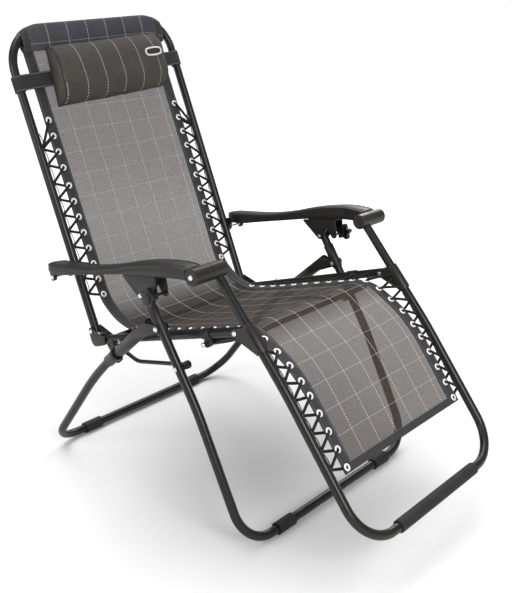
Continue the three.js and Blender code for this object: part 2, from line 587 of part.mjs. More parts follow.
// The leg part rounds off the front spreader bar and lies a little inside the frame's own bend.
const legFace = [[237, 474.5], [252, 466.5], [284, 449], [318, 421], [345, 391], [372, 359],
  [399, 324], [424, 289], [452, 254]];
const legBack = legFace.map((p, i) => {
  const run = directionOf(legFace[Math.max(i - 1, 0)], legFace[Math.min(i + 1, legFace.length - 1)]);
  return along(p, run - 90, SLING_THICK);
});
add("sling_leg", slingSlab([...legFace, ...legBack.reverse()]), "mesh");

// ---- Headrest pillow and its straps --------------------------------------------------------
const PILLOW_HALF = 203;
const PILLOW_MIDDLE = 662;
const pillowSection = [];
for (let i = 0; i <= 12; i += 1) {
  const angle = Math.PI * i / 12;
  const up = 84 * Math.cos(angle);
  pillowSection.push(along(backPoint(PILLOW_MIDDLE + up), BACK_ANGLE - 90, 8 + 62 * Math.sin(angle) ** 0.8));
}
add("pillow", plate(pillowSection, -PILLOW_HALF, PILLOW_HALF), "cushion");

// Each strap runs from the pillow's end and loops round the back tube.
for (const [side, s] of sides) {
  const low = backPoint(PILLOW_MIDDLE - 18);
  const high = backPoint(PILLOW_MIDDLE + 14);
  const loop = sleeve(s * INNER, low, high, TUBE + 3.2, TUBE + 1.2, 14);
  const strapPlate = solid(plate([
    along(low, BACK_ANGLE - 90, TUBE + 1), along(high, BACK_ANGLE - 90, TUBE + 1),
    along(high, BACK_ANGLE - 90, TUBE + 3.2), along(low, BACK_ANGLE - 90, TUBE + 3.2),
  ], s * (PILLOW_HALF + GAP * 2), s * (INNER + 2)));
  add(`pillow_strap_${side}`, shell(join(loop, strapPlate)), "webbing");
}

export default chair;
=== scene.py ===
"""Looks of the zero gravity recliner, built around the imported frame.
Side-view points are (forward, up) in millimetres, as in the part's own source. The chair faces -Y."""
import json
import math

import bmesh
import bpy
from mathutils import Matrix, Vector, noise
from mathutils.bvhtree import BVHTree


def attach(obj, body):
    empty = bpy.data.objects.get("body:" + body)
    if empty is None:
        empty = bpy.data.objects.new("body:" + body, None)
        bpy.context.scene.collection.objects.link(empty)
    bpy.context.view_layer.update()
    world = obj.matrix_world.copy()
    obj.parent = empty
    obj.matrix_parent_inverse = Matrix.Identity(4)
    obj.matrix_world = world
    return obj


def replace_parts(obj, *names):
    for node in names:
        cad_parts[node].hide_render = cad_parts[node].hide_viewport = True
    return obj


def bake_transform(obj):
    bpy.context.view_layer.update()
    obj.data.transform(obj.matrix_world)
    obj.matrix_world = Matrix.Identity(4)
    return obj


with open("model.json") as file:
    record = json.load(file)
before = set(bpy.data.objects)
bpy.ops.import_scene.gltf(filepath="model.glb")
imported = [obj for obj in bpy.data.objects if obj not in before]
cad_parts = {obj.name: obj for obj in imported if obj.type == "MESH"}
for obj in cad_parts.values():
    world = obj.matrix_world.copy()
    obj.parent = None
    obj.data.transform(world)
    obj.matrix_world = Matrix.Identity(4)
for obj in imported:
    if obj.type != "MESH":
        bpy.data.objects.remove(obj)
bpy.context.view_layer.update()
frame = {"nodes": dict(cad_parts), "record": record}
SLOTS = {part["node"]: part["material_slot"] for part in frame["record"]["subparts"]}

# ---- Driving dimensions, the same as the part's -------------------------------------------
CENTRE = -32.9
TUBE, INNER, OUTER = 11.0, 272.0, 325.0
FLOOR_Z = 14.5
BACK_PIVOT, LEG_FRAME_PIVOT = (-310, 374), (195, 508)
ARM_FRONT, ARM_REAR = (125, 632), (-375.5, 520)
BACK_ANGLE, BACK_LENGTH, BACK_BEND = 112.74, 792, 112
TOP_LEAN, LEFT_BEND = 0.034, 88     # the top bar sits a little out of square
SEAT_ANGLE = 17.7
LEG_FRAME_ANGLE, LEG_FRAME_KNEE, LEG_FRAME_FOOT = -48.3, (330, 402), (550, 122)
FRONT_LEG = [(-52, 564), (113, 310), (262, FLOOR_Z)]
REAR_LEG_TOP, COLLAR, REAR_LEG_FOOT = (-35, 480.5), (-178, 354), (-462, FLOOR_Z)
CORNER = 85
SIDES = (("left", 1), ("right", -1))


def along(p, degrees, d):
    a = math.radians(degrees)
    return (p[0] + math.cos(a) * d, p[1] + math.sin(a) * d)


def heading(a, b):
    return math.degrees(math.atan2(b[1] - a[1], b[0] - a[0]))


def at(x, p):
    return Vector((x, CENTRE - p[0], p[1])) / 1000


def back_point(s, n=0):
    return along(along(BACK_PIVOT, BACK_ANGLE, s), BACK_ANGLE - 90, n)


def seat_point(d):
    return along(along(LEG_FRAME_PIVOT, SEAT_ANGLE, 9), SEAT_ANGLE, -d)


def top_bar(x):
    """Distance up the back of the top bar's centre line at x, and its stretch where it slants."""
    r = BACK_BEND if x < 0 else LEFT_BEND
    over = min(max(abs(x) - (INNER - r), 0), 0.96 * r)
    return BACK_LENGTH + TOP_LEAN * x - r + math.sqrt(r * r - over * over), 1 / math.sqrt(1 - (over / r) ** 2)


def ease(t):
    t = min(max(t, 0), 1)
    return t * t * (3 - 2 * t)


# ---- Camera, floor and light ---------------------------------------------------------------
def camera():
    data = bpy.data.cameras.new("camera")
    data.sensor_fit, data.sensor_width, data.lens = "HORIZONTAL", 36, 60.96
    data.shift_x, data.shift_y, data.clip_end = -0.0016, -0.0047, 3000
    obj = bpy.data.objects.new("camera", data)
    bpy.context.scene.collection.objects.link(obj)
    back = Vector((-0.6985, -0.6294, 0.3407)).normalized()
    right = Vector((0, 0, 1)).cross(back).normalized()
    up = back.cross(right)
    place = Vector((-1.5255, -1.3745 + CENTRE / 1000, 1.2173))
    obj.matrix_world = Matrix.Translation(place) @ Matrix((right, up, back)).transposed().to_4x4()
    bpy.context.scene.camera = obj


def area_light(name, place, target, size, power, colour=(1, 1, 1)):
    data = bpy.data.lights.new(name, "AREA")
    data.shape, data.size, data.energy, data.color = "DISK", size, power, colour
    obj = bpy.data.objects.new(name, data)
    bpy.context.scene.collection.objects.link(obj)
    obj.location = place
    obj.rotation_euler = (Vector(place) - Vector(target)).to_track_quat("Z", "Y").to_euler()


def studio():
    area_light("key", (-1.3, -3.4, 2.3), (0, 0, 0.4), 2.0, 95)
    area_light("side", (-3.2, 0.8, 1.9), (0, 0, 0.5), 1.6, 40)
    area_light("rim", (2.8, 1.2, 2.0), (0, 0, 0.6), 1.4, 35)
    for name, energy, direction in (("top_rear", 1.7, (0.34, 0.40, 1)), ("top", 1.05, (-0.05, 0.05, 1))):
        sun = bpy.data.lights.new(name, "SUN")
        sun.energy, sun.angle = energy, math.radians(46)
        lamp = bpy.data.objects.new(name, sun)
        bpy.context.scene.collection.objects.link(lamp)
        lamp.rotation_euler = Vector(direction).to_track_quat("Z", "Y").to_euler()
    world = bpy.data.worlds.new("studio")
    world.use_nodes = True
    world.node_tree.nodes["Background"].inputs["Color"].default_value = (1, 1, 1, 1)
    world.node_tree.nodes["Background"].inputs["Strength"].default_value = 0.42
    bpy.context.scene.world = world
    bpy.context.scene.view_settings.view_transform = "Standard"
    mesh = bpy.data.meshes.new("floor")
    mesh.from_pydata([(-400, -400, 0), (400, -400, 0), (400, 400, 0), (-400, 400, 0)], [], [(0, 1, 2, 3)])
    floor = bpy.data.objects.new("floor", mesh)
    bpy.context.scene.collection.objects.link(floor)
    paper = Tree("floor_paper", (0.9, 0.9, 0.9), 0.9, 0.0, 0.0)
    # Painted shade: the floor's colour is darker within about 2.6 m of the middle under the chair, deepening
    # its shadow there.
    reach = paper.put("ShaderNodeVectorMath", _operation="LENGTH", i0=paper.place()).outputs["Value"]
    floor_shade_near_chair = paper.put("ShaderNodeMapRange", Value=reach, From_Min=0.6, From_Max=2.6).outputs[0]
    paper.to("Base Color", paper.mix(floor_shade_near_chair, (0.68, 0.68, 0.68), (0.9, 0.9, 0.9)))
    floor.data.materials.append(paper.mat)


# ---- Materials -------------------------------------------------------------------------------
class Tree:
    """Short ways to add nodes to one material."""

    def __init__(self, name, colour, roughness, metallic=0.0, specular=0.5):
        self.mat = bpy.data.materials.new(name)
        self.mat.use_nodes = True
        self.nodes, self.link = self.mat.node_tree.nodes, self.mat.node_tree.links.new
        self.shader = self.nodes["Principled BSDF"]
        for socket, value in (("Base Color", (*colour, 1)), ("Roughness", roughness),
                              ("Metallic", metallic), ("Specular IOR Level", specular)):
            self.shader.inputs[socket].default_value = value

    def put(self, kind, **inputs):
        n = self.nodes.new(kind)
        for key, value in inputs.items():
            if key[0] == "_":
                setattr(n, key[1:], value)
                continue
            numbered = key[0] == "i" and key[1:].isdigit()
            socket = n.inputs[int(key[1:]) if numbered else key.replace("_", " ")]
            if isinstance(value, bpy.types.NodeSocket):
                self.link(value, socket)
            else:
                socket.default_value = value
        return n

    def math(self, op, a, b=0.0, c=0.0, clamp=False):
        n = self.put("ShaderNodeMath", _operation=op, i0=a, i1=b, i2=c)
        n.use_clamp = clamp
        return n.outputs[0]

    def noise(self, vector, scale, detail=3.0, rough=0.5):
        n = self.put("ShaderNodeTexNoise", Vector=vector, Scale=scale, Detail=detail, Roughness=rough)
        return n.outputs["Fac"]

    def span(self, value, low, high):
        return self.put("ShaderNodeMapRange", Value=value, To_Min=low, To_Max=high).outputs[0]

    def mix(self, factor, a, b):
        n = self.put("ShaderNodeMix", _data_type="RGBA", i0=factor)
        for socket, value in ((n.inputs[6], a), (n.inputs[7], b)):
            if isinstance(value, bpy.types.NodeSocket):
                self.link(value, socket)
            else:
                socket.default_value = (*value, 1)
        return n.outputs[2]

    def stretched(self, source, x, y, z=1.0):
        return self.put("ShaderNodeMapping", Vector=source, Scale=(x, y, z)).outputs[0]

    def place(self):
        return self.put("ShaderNodeTexCoord").outputs["Object"]

    def uv(self):
        return self.put("ShaderNodeUVMap", _uv_map="UVMap").outputs[0]

    def bump(self, height, distance, strength=1.0, normal=None):
        n = self.put("ShaderNodeBump", Strength=strength, Distance=distance, Height=height)
        if normal:
            self.link(normal, n.inputs["Normal"])
        self.link(n.outputs[0], self.shader.inputs["Normal"])
        return n.outputs[0]

    def to(self, socket, value):
        self.link(value, self.shader.inputs[socket])


def coated(name, dark, light, roughness, grain, depth):
    """Powder coat or moulded plastic: mottled colour, soft orange peel and slightly uneven gloss."""
    t = Tree(name, dark, roughness, 0.0, 0.34)
    where = t.place()
    t.to("Base Color", t.mix(t.span(t.noise(where, 35, 4), -0.3, 1.3), dark, light))
    t.to("Roughness", t.span(t.noise(where, 120, 5, 0.6), roughness - 0.09, roughness + 0.09))
    t.bump(t.noise(where, grain, 2, 0.6), depth)
    return t.mat


def metal(name, colour, roughness, metallic=1.0):
    t = Tree(name, colour, roughness, metallic)
    where = t.place()
    brushed = t.noise(t.stretched(where, 1, 6, 6), 300, 4, 0.7)
    t.to("Roughness", t.span(brushed, roughness - 0.08, roughness + 0.14))
    t.to("Base Color", t.mix(t.noise(where, 90, 3), [c * 0.82 for c in colour], colour))
    t.bump(t.noise(where, 700, 2), 0.00004)
    return t.mat


STRIPE, STRIPE_AT = 0.0645, -0.0185
WEFT, WEFT_AT = 0.0588, 0.0457


def woven(name, dark, light, stripe, open_share, stripe_at=STRIPE_AT, weft=True, seat=False):
    """Woven vinyl mesh with a dotted pale window-pane stripe. UV is (across, along) in metres."""
    t = Tree(name, dark, 0.7, 0.0, 0.12)
    uv = t.put("ShaderNodeSeparateXYZ", Vector=t.uv())
    u, v = uv.outputs[0], uv.outputs[1]
    warp = t.math("SINE", t.math("MULTIPLY", u, 2 * math.pi / 0.0021))
    fill = t.math("SINE", t.math("MULTIPLY", v, 2 * math.pi / 0.0019))
    threads = t.math("MULTIPLY", warp, fill)
    streaks = t.noise(t.stretched(t.uv(), 22, 900), 1.0, 3, 0.7)
    slubs = t.noise(t.stretched(t.uv(), 700, 30), 1.0, 2, 0.6)
    patches = t.noise(t.uv(), 18, 3)
    tone = t.math("MULTIPLY_ADD", slubs, 0.5, t.math("MULTIPLY", patches, 0.4))
    tone = t.math("MULTIPLY_ADD", streaks, 0.9, tone)
    tone = t.math("MULTIPLY_ADD", threads, 0.12, t.math("SUBTRACT", tone, 0.42), clamp=True)
    base = t.mix(tone, dark, light)
    painted_seat_shade = 1.0
    if seat:
        # Painted shade: over the seat the mesh's colour is darkened and made less see-through, to stand in
        # for the seat's shade when seen edge-on.
        rear, front = t.span(v, 1.0, 0.0), t.span(v, 0.0, 1.0)
        for socket, low, high in ((rear, -0.02, 0.07), (front, -0.54, -0.46)):
            limits = socket.node.inputs
            limits["From Min"].default_value, limits["From Max"].default_value = low, high
        painted_seat_shade = t.math("MULTIPLY", rear, front)
        # Painted shade: the colour is mixed towards near-black over the seat zone.
        base = t.mix(t.math("MULTIPLY", painted_seat_shade, 0.66), base, [c * 0.3 for c in dark])

    def line(coordinate, period, offset, half):
        share = t.math("PINGPONG", t.math("SUBTRACT", coordinate, offset), period / 2)
        return t.math("LESS_THAN", share, half)

    def dotted(coordinate, period, gap):
        wave = t.math("SINE", t.math("MULTIPLY", coordinate, 2 * math.pi / period))
        return t.math("GREATER_THAN", wave, gap)

    mask = t.math("MULTIPLY", line(u, STRIPE, stripe_at, 0.0011), dotted(v, 0.0066, -0.2))
    if weft:
        faint = t.math("MULTIPLY", line(v, WEFT, WEFT_AT, 0.0009), dotted(u, 0.0080, 0.0))
        mask = t.math("MAXIMUM", mask, t.math("MULTIPLY", faint, 0.75))
    t.to("Base Color", t.mix(t.math("MULTIPLY", mask, 0.9), base, stripe))
    if open_share:
        holes = t.math("MULTIPLY_ADD", threads, -0.5, 0.5)
        gaps = t.math("POWER", holes, 2.0)
        see = t.math("MULTIPLY", gaps, open_share / 0.375)
        see = t.math("MULTIPLY", see, t.math("SUBTRACT", 1.0, t.math("MULTIPLY", mask, 0.8)))
        if seat:
            # The same painted seat-shade mask also cuts the see-through over the seat.
            see = t.math("MULTIPLY", see, t.math("MULTIPLY_ADD", painted_seat_shade, -0.88, 1.0))
        t.to("Alpha", t.math("SUBTRACT", 1.0, see, clamp=True))
    t.bump(t.math("MULTIPLY_ADD", threads, 0.35, streaks), 0.00035)
    return t.mat


def webbing(name, colour):
    """Woven tape. UV is (across from its middle, along) in metres."""
    t = Tree(name, colour, 0.75, 0.0, 0.3)
    uv = t.put("ShaderNodeSeparateXYZ", Vector=t.uv())
    u, v = uv.outputs[0], uv.outputs[1]
    ribs = t.math("SINE", t.math("MULTIPLY", v, 2 * math.pi / 0.0016))
    cords = t.math("SINE", t.math("MULTIPLY", u, 2 * math.pi / 0.0022))
    fuzz = t.noise(t.uv(), 900, 3)
    tone = t.math("MULTIPLY_ADD", cords, 0.1, t.math("MULTIPLY", fuzz, 0.9))
    tone = t.math("MULTIPLY_ADD", ribs, 0.14, tone, clamp=True)
    base = t.mix(tone, [c * 0.6 for c in colour], [c * 1.7 for c in colour])
    away = t.math("ABSOLUTE", t.math("SUBTRACT", t.math("ABSOLUTE", u), 0.0118))
    near = t.math("LESS_THAN", away, 0.0005)
    dash = t.math("GREATER_THAN", t.math("SINE", t.math("MULTIPLY", v, 2 * math.pi / 0.0042)), -0.3)
    base = t.mix(t.math("MULTIPLY", t.math("MULTIPLY", near, dash), 0.45), base, (0.35, 0.35, 0.36))
    t.to("Base Color", base)
    t.bump(t.math("MULTIPLY_ADD", ribs, 0.5, t.math("MULTIPLY", cords, 0.4)), 0.0002)
    return t.mat


def cord_look(name, colour):
    """Braided sheath. UV is (round, along) in metres."""
    t = Tree(name, colour, 0.7, 0.0, 0.3)
    uv = t.put("ShaderNodeSeparateXYZ", Vector=t.uv())
    u, v = uv.outputs[0], uv.outputs[1]
    a = t.math("SINE", t.math("MULTIPLY", t.math("ADD", u, v), 2 * math.pi / 0.002))
    b = t.math("SINE", t.math("MULTIPLY", t.math("SUBTRACT", u, v), 2 * math.pi / 0.002))
    braid = t.math("MAXIMUM", a, b)
    tone = t.math("MULTIPLY_ADD", braid, 0.4, 0.4, clamp=True)
    t.to("Base Color", t.mix(tone, colour, [c * 2.6 for c in colour]))
    t.bump(braid, 0.00025)
    return t.mat


def ridged(name, colour):
    """Soft-touch armrest top with fine moulded grain."""
    t = Tree(name, colour, 0.5, 0.0, 0.36)
    where = t.place()
    cells = t.put("ShaderNodeTexVoronoi", Vector=where, Scale=900.0).outputs["Distance"]
    t.to("Base Color", t.mix(t.noise(where, 30, 3), [c * 0.7 for c in colour], [c * 1.5 for c in colour]))
    t.to("Roughness", t.span(t.noise(where, 60, 4), 0.36, 0.6))
    t.bump(cells, 0.00018, 0.6)
    return t.mat


LOOK = {}


def make_looks():
    LOOK["frame"] = coated("powder_coat", (0.0060, 0.0053, 0.0050), (0.0105, 0.0093, 0.0088),
                           0.30, 1400, 0.00008)
    LOOK["bracket"] = coated("bracket_coat", (0.0095, 0.0083, 0.0077), (0.016, 0.0142, 0.0130),
                             0.38, 1100, 0.0001)
    LOOK["plastic"] = coated("moulded_black", (0.0055, 0.0053, 0.0053), (0.0095, 0.0092, 0.0090),
                             0.42, 900, 0.0001)
    LOOK["armrest"] = coated("moulded_brown", (0.0085, 0.0075, 0.0069), (0.0145, 0.0130, 0.0120),
                             0.42, 1000, 0.0001)
    LOOK["barrel"] = coated("barrel_coat", (0.0110, 0.0098, 0.0091), (0.018, 0.0163, 0.0152),
                            0.36, 1000, 0.0001)
    LOOK["pad"] = ridged("pad_grain", (0.0075, 0.0071, 0.0071))
    LOOK["bolt"] = metal("zinc", (0.72, 0.73, 0.75), 0.28)
    LOOK["eyelet"] = metal("eyelet_metal", (0.86, 0.84, 0.80), 0.38, 0.45)
    LOOK["rubber"] = coated("ribbed_rubber", (0.007, 0.007, 0.007), (0.013, 0.013, 0.013),
                            0.6, 700, 0.00015)
    LOOK["foam"] = coated("foam_grip", (0.009, 0.0088, 0.0086), (0.017, 0.0165, 0.016),
                          0.75, 1500, 0.0003)
    LOOK["sling"] = woven("sling_mesh", (0.0225, 0.0160, 0.0130), (0.075, 0.0550, 0.0450),
                          (0.46, 0.42, 0.39), 0.20, seat=True)
    LOOK["sleeve"] = woven("sleeve_mesh", (0.029, 0.029, 0.033), (0.084, 0.083, 0.094),
                           (0.42, 0.41, 0.41), 0.04)
    LOOK["cushion"] = woven("pillow_cover", (0.026, 0.0230, 0.0205), (0.082, 0.0740, 0.0660),
                            (0.42, 0.40, 0.37), 0, 0.0145, False)
    LOOK["badge"] = coated("patch_cloth", (0.010, 0.010, 0.010), (0.020, 0.020, 0.020),
                           0.6, 900, 0.0001)
    LOOK["badge_rim"] = coated("patch_rim", (0.50, 0.49, 0.47), (0.62, 0.61, 0.59), 0.6, 900, 0.0001)
    LOOK["webbing"] = webbing("edge_tape", (0.026, 0.026, 0.0295))
    LOOK["strap"] = webbing("elastic_strap", (0.016, 0.016, 0.018))
    LOOK["lace"] = cord_look("bungee_sheath", (0.0040, 0.0037, 0.0037))


# ---- Mesh helpers --------------------------------------------------------------------------
def new_object(name, verts, faces, look, body=None, uvs=None):
    mesh = bpy.data.meshes.new(name)
    mesh.from_pydata([tuple(v) for v in verts], [], faces)
    if uvs:
        layer = mesh.uv_layers.new(name="UVMap")
        for loop in mesh.loops:
            layer.data[loop.index].uv = uvs[loop.vertex_index]
    mesh.validate()
    mesh.polygons.foreach_set("use_smooth", [True] * len(mesh.polygons))
    mesh.set_sharp_from_angle(angle=math.radians(38))
    mesh.materials.append(LOOK[look])
    obj = bpy.data.objects.new(name, mesh)
    bpy.context.scene.collection.objects.link(obj)
    if body:
        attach(obj, body)
    return obj


class Build:
    """Collects several shapes into one mesh."""

    def __init__(self):
        self.verts, self.faces, self.uvs = [], [], []

    def add(self, verts, faces, uvs=None):
        base = len(self.verts)
        self.verts += [Vector(v) for v in verts]
        self.faces += [[i + base for i in f] for f in faces]
        self.uvs += list(uvs) if uvs else [(0, 0)] * len(verts)

    def sweep(self, points, radius, sides=20, closed=False):
        """A tube along points."""
        n = len(points)
        verts, faces, uvs = [], [], []
        normal, length = None, 0.0
        for i, p in enumerate(points):
            before = points[(i - 1) % n] if closed or i else p
            after = points[(i + 1) % n] if closed or i < n - 1 else p
            tangent = (after - before).normalized()
            if normal is None:
                normal = Vector((1, 0, 0)) if abs(tangent.x) < 0.9 else Vector((0, 0, 1))
            normal = (normal - tangent * normal.dot(tangent)).normalized()
            side = tangent.cross(normal)
            length += (p - points[i - 1]).length if i else 0
            for k in range(sides):
                a = 2 * math.pi * k / sides
                verts.append(p + (normal * math.cos(a) + side * math.sin(a)) * radius)
                uvs.append((radius * a, length))
        rings = n if closed else n - 1
        for i in range(rings):
            for k in range(sides):
                a, b = i * sides + k, i * sides + (k + 1) % sides
                c, d = ((i + 1) % n) * sides + (k + 1) % sides, ((i + 1) % n) * sides + k
                faces.append([a, b, c, d])
        if not closed:
            faces.append(list(range(sides))[::-1])
            faces.append([(n - 1) * sides + k for k in range(sides)])
        self.add(verts, faces, uvs)

    def lathe(self, profile, origin, axis, sides=28):
        """Profile points are (radius, distance along axis) in metres; its ends lie on the axis or meet."""
        axis = Vector(axis).normalized()
        side = axis.orthogonal().normalized()
        up = axis.cross(side)
        closed = (Vector(profile[0]) - Vector(profile[-1])).length < 1e-9
        rows = profile[:-1] if closed else profile
        verts, faces, start = [], [], []
        for r, h in rows:
            start.append(len(verts))
            if r < 1e-9:
                verts.append(Vector(origin) + axis * h)
            else:
                for k in range(sides):
                    a = 2 * math.pi * k / sides
                    verts.append(Vector(origin) + axis * h + (side * math.cos(a) + up * math.sin(a)) * r)
        count = len(rows)
        for i in range(count if closed else count - 1):
            j = (i + 1) % count
            pa, pb = rows[i][0] < 1e-9, rows[j][0] < 1e-9
            for k in range(sides):
                m = (k + 1) % sides
                a, b = start[i] + (0 if pa else k), start[i] + (0 if pa else m)
                c, d = start[j] + (0 if pb else m), start[j] + (0 if pb else k)
                face = [a, b, c, d] if not (pa or pb) else ([a, c, d] if pa else [a, b, c])
                faces.append(face)
        self.add(verts, faces)

    def loft(self, sections, uvs=None):
        """A capped skin over closed cross-sections with the same number of points."""
        m = len(sections[0])
        verts = [v for ring in sections for v in ring]
        faces = []
        for i in range(len(sections) - 1):
            for k in range(m):
                a, b = i * m + k, i * m + (k + 1) % m
                faces.append([a, b, b + m, a + m])
        faces.append(list(range(m))[::-1])
        faces.append([(len(sections) - 1) * m + k for k in range(m)])
        self.add(verts, faces, uvs)

    def done(self, name, look, body=None, slot=None):
        obj = new_object(name, self.verts, self.faces, look, body, self.uvs)
        bm = bmesh.new()
        bm.from_mesh(obj.data)
        bmesh.ops.recalc_face_normals(bm, faces=bm.faces)
        bm.to_mesh(obj.data)
        bm.free()
        return obj


def bent(corners, radii, step=6.0):
    """A line of straight runs joined by round bends, as points in metres."""
    keys = [corners[0].copy()]
    for i in range(1, len(corners) - 1):
        back = (corners[i - 1] - corners[i]).normalized()
        ahead = (corners[i + 1] - corners[i]).normalized()
        half = back.angle(ahead) / 2
        r = radii[i - 1] / 1000
        centre = corners[i] + (back + ahead).normalized() * (r / math.sin(half))
        first = corners[i] + back * (r / math.tan(half)) - centre
        last = corners[i] + ahead * (r / math.tan(half)) - centre
        turn = first.angle(last)
        steps = max(3, round(math.degrees(turn) / (step if r < 0.5 else 1.4)))
        axis = first.cross(last).normalized()
        keys += [Matrix.Rotation(turn * k / steps, 3, axis) @ first + centre for k in range(steps + 1)]
    return keys + [corners[-1].copy()]


def u_frame(points, half, radii, corner):
    right = [at(-half, p) for p in points]
    left = [at(half, p) for p in points][::-1]
    return bent(right + left, radii + [corner, corner] + radii[::-1])


def bevelled(node, look, width=0.0007):
    """A copy of a CAD node with its edges rounded and its faces shaded smoothly."""
    source = frame["nodes"][node]
    mesh = source.data.copy()
    mesh.name = "detailed_" + node
    mesh.materials.clear()
    mesh.materials.append(LOOK[look])
    obj = bpy.data.objects.new("detailed_" + node, mesh)
    bpy.context.scene.collection.objects.link(obj)
    bm = bmesh.new()
    bm.from_mesh(mesh)
    bmesh.ops.remove_doubles(bm, verts=bm.verts, dist=1e-5)
    bmesh.ops.dissolve_limit(bm, angle_limit=math.radians(1), verts=bm.verts, edges=bm.edges)
    sharp = [e for e in bm.edges if len(e.link_faces) == 2 and e.calc_face_angle(0) > math.radians(35)]
    bmesh.ops.bevel(bm, geom=sharp, offset=width, segments=2, profile=0.6, affect="EDGES",
                    clamp_overlap=True)
    for face in bm.faces:
        face.smooth = True
    bm.to_mesh(mesh)
    bm.free()
    mesh.set_sharp_from_angle(angle=math.radians(32))
    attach(obj, next(b for b, names in frame["record"]["behaviour"]["bodies"].items() if node in names))
    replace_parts(obj, node)
    return obj


# ---- Frame tubes -----------------------------------------------------------------------------
def tubes():
    def tube(name, points, body, node, radius=TUBE):
        b = Build()
        b.sweep(points, radius / 1000, 28)
        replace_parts(b.done(name, "frame", body, "frame"), node)

    tube("front_leg", u_frame(FRONT_LEG, OUTER, [700], CORNER), "front_leg", "front_leg_tube")
    angle = heading(REAR_LEG_TOP, COLLAR)
    rear = [REAR_LEG_TOP, along(COLLAR, angle, 87.6), REAR_LEG_FOOT]
    tube("rear_leg", u_frame(rear, OUTER, [927], CORNER), "rear_leg", "rear_leg_tube")
    lean = TOP_LEAN * INNER
    corners = [at(-INNER, back_point(-8)), at(-INNER, back_point(BACK_LENGTH - lean)),
               at(INNER, back_point(BACK_LENGTH + lean)), at(INNER, back_point(-8))]
    tube("back_frame", bent(corners, [BACK_BEND, LEFT_BEND]), "back", "back_frame_tube")
    top = along(LEG_FRAME_KNEE, LEG_FRAME_ANGLE, -300)
    leg = u_frame([top, LEG_FRAME_KNEE, LEG_FRAME_FOOT], INNER, [1100], CORNER + 10)
    tube("leg_frame", leg, "leg_frame", "leg_frame_tube")
    for side, s in SIDES:
        rail = [at(s * INNER, seat_point(d)) for d in (527, 0)]
        tube(f"seat_rail_tube_{side}", rail, "seat", f"seat_rail_{side}")
    cross = seat_point(465)
    tube("rear_cross_bar", [at(-260.7, cross), at(260.7, cross)], "seat", "rear_cross_tube", 9.5)
    hanger, front, x = (92, 449), (186, 486), INNER - TUBE - 12
    line = bent([at(-x, hanger), at(-x, front), at(x, front), at(x, hanger)], [70, 70])
    tube("front_spreader", line, "seat", "front_spreader_bar", 8)


def hardware():
    for side, _ in SIDES:
        for node, look in (("leg_pivot_sleeve", "plastic"), ("rear_leg_gusset", "bracket"),
                           ("sliding_collar", "bracket"), ("fold_link", "plastic"), ("seat_elbow", "bracket"),
                           ("spreader_hanger", "bracket"), ("leg_frame_gusset", "bracket"),
                           ("lock_bracket", "plastic"), ("lock_knob", "plastic"),
                           ("front_foot", "rubber"), ("rear_foot", "rubber")):
            bevelled(f"{node}_{side}", look)
    for side, _ in SIDES:
        for node in ("leg_pivot_bolt", "link_pivot_bolt", "seat_pivot_bolt", "back_pivot_bolt",
                     "leg_frame_bolt", "arm_pivot_bolt", "armrest_rear_bolt", "lock_pivot_bolt"):
            bevelled(f"{node}_{side}", "bolt", 0.0005)


def hanger_bolts():
    """Rivet heads on the seat rails' outer sides, which hold the spreader's hangers."""
    for side, s in SIDES:
        b = Build()
        dome = [(0, 0.0034), (0.0028, 0.0031), (0.0050, 0.0018), (0.0058, 0), (0.0058, -0.0012), (0, -0.0012)]
        b.lathe(dome, at(s * (INNER + TUBE - 0.4), (92, 450)), (s, 0, 0), 24)
        b.done(f"hanger_bolt_{side}", "bolt", "seat", "bolt")


# ---- Barrels and armrests -----------------------------------------------------------------
def barrel_profile(length, radius=19.0):
    r = radius / 1000
    return [(0, 0), (0.0085, 0), (0.0095, -0.0008), (r - 0.0045, -0.0008), (r - 0.0035, 0), (r - 0.0012, 0),
            (r, 0.0012), (r, length - 0.0008), (r - 0.0008, length), (0, length)]


def curve_value(points, f):
    """Catmull-Rom interpolation of z over f."""
    n = len(points)
    i = max(j for j in range(n - 1) if points[j][0] <= f or j == 0)
    p = [points[min(max(i + k, 0), n - 1)] for k in (-1, 0, 1, 2)]
    t = min(max((f - p[1][0]) / (p[2][0] - p[1][0]), 0), 1)
    m1 = (p[2][1] - p[0][1]) / max(p[2][0] - p[0][0], 1) * (p[2][0] - p[1][0])
    m2 = (p[3][1] - p[1][1]) / max(p[3][0] - p[1][0], 1) * (p[2][0] - p[1][0])
    return ((2 * t**3 - 3 * t**2 + 1) * p[1][1] + (t**3 - 2 * t**2 + t) * m1
            + (3 * t**2 - 2 * t**3) * p[2][1] + (t**3 - t**2) * m2)


# Side-view lines of the armrest: its lower edge, the seam under the pad and the pad's top.
UNDER = [(-412, 531), (-343, 534), (-260, 553), (-182, 571), (-73, 596), (28, 613), (102, 622)]
SEAM = [(-420, 535), (-400, 546), (-345, 552), (-240, 567), (-150, 588), (-70, 613), (0, 629), (50, 636),
        (102, 639)]
TOP = [(-421, 540), (-410, 550), (-390, 557), (-345, 563), (-240, 578), (-150, 600), (-70, 625), (0, 641),
       (50, 648), (100, 650)]
LOWER = {"left": 0, "right": 5}     # the right armrest sits a little lower
ARM_X, ARM_HALF, ARM_REAR_TIP, ARM_FRONT_TIP = 325, 25, -401, 106


def arm_plan(f, s, spare):
    """Middle and half width of the armrest at f: round at the rear, narrowing to the barrel."""
    inner, outer = ARM_X - ARM_HALF - spare, ARM_X + ARM_HALF + spare
    k = ease((f - 30) / 74)
    inner, outer = inner + (292 - inner) * k, outer + (344.5 - outer) * k
    d = (ARM_REAR_TIP + 30 - f) / 30
    shrink = math.sqrt(max(1 - d * d, 0.02)) if d > 0 else 1
    return s * (inner + outer) / 2, (outer - inner) / 2 * shrink


def stations():
    rear = [ARM_REAR_TIP + 30 * (1 - math.cos(math.radians(a))) for a in range(4, 90, 11)]
    count = 46
    first = ARM_REAR_TIP + 30
    return rear + [first + (ARM_FRONT_TIP - first) * i / count for i in range(count + 1)]


